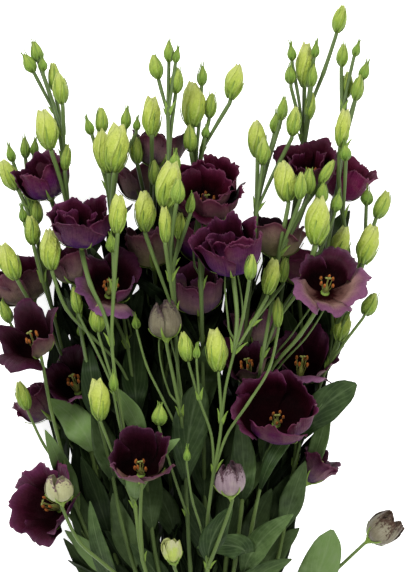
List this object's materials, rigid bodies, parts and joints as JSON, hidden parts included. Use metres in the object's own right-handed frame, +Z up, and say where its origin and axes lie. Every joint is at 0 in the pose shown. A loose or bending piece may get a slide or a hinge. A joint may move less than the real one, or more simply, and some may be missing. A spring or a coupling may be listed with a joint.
{
  "type": "lisianthus bunch",
  "caption": "Tied bunch of cut lisianthus lying on its side: fanned green stems with ovate leaves, closed twisted buds and dark purple goblet-shaped blooms.",
  "frame": {"origin": "under the middle of the bunch's bounding box, on the surface that the bunch lies on", "axes": "+Y from the cut ends to the tips of the buds, +X to the right seen from above, +Z up from the surface"},
  "size_m": [0.4218, 0.7958, 0.2075],
  "materials": {
    "stem_green": "smooth green stems and buds, glaucous matte leaves",
    "petal_purple": "velvety dark aubergine petals with a satin sheen, greyer outside",
    "petal_pale": "half-open pale mauve and cream petals",
    "petal_lime": "half-open lime green petals",
    "tie_twine": "matte undyed twine"
  },
  "bodies": {
    "root": {"stem_01": "stem_green", "stem_02": "stem_green", "stem_03": "stem_green", "stem_04": "stem_green", "stem_05": "stem_green", "stem_06": "stem_green", "stem_07": "stem_green", "stem_08": "stem_green", "stem_09": "stem_green", "stem_10": "stem_green", "stem_11": "stem_green", "stem_12": "stem_green", "stem_13": "stem_green", "stem_14": "stem_green", "stem_15": "stem_green", "stem_16": "stem_green", "bloom_01": "petal_purple", "bloom_02": "petal_purple", "bloom_03": "petal_pale", "bloom_04": "petal_purple", "bloom_05": "petal_purple", "bloom_06": "petal_purple", "bloom_07": "petal_purple", "bloom_08": "petal_purple", "bloom_09": "petal_purple", "bloom_10": "petal_purple", "bloom_11": "petal_purple", "bloom_12": "petal_purple", "bloom_13": "petal_purple", "bloom_14": "petal_purple", "bloom_15": "petal_purple", "bloom_16": "petal_pale", "bloom_17": "petal_lime", "bloom_18": "petal_purple", "bloom_19": "petal_purple", "bloom_20": "petal_purple", "bloom_21": "petal_purple", "bloom_22": "petal_purple", "bloom_23": "petal_purple", "bloom_24": "petal_purple", "bloom_25": "petal_purple", "bloom_26": "petal_purple", "bloom_27": "petal_purple", "bloom_28": "petal_purple", "bloom_29": "petal_purple", "bloom_30": "petal_pale", "bloom_31": "petal_pale", "bloom_32": "petal_purple", "tie": "tie_twine"}
  },
  "joints": []
}
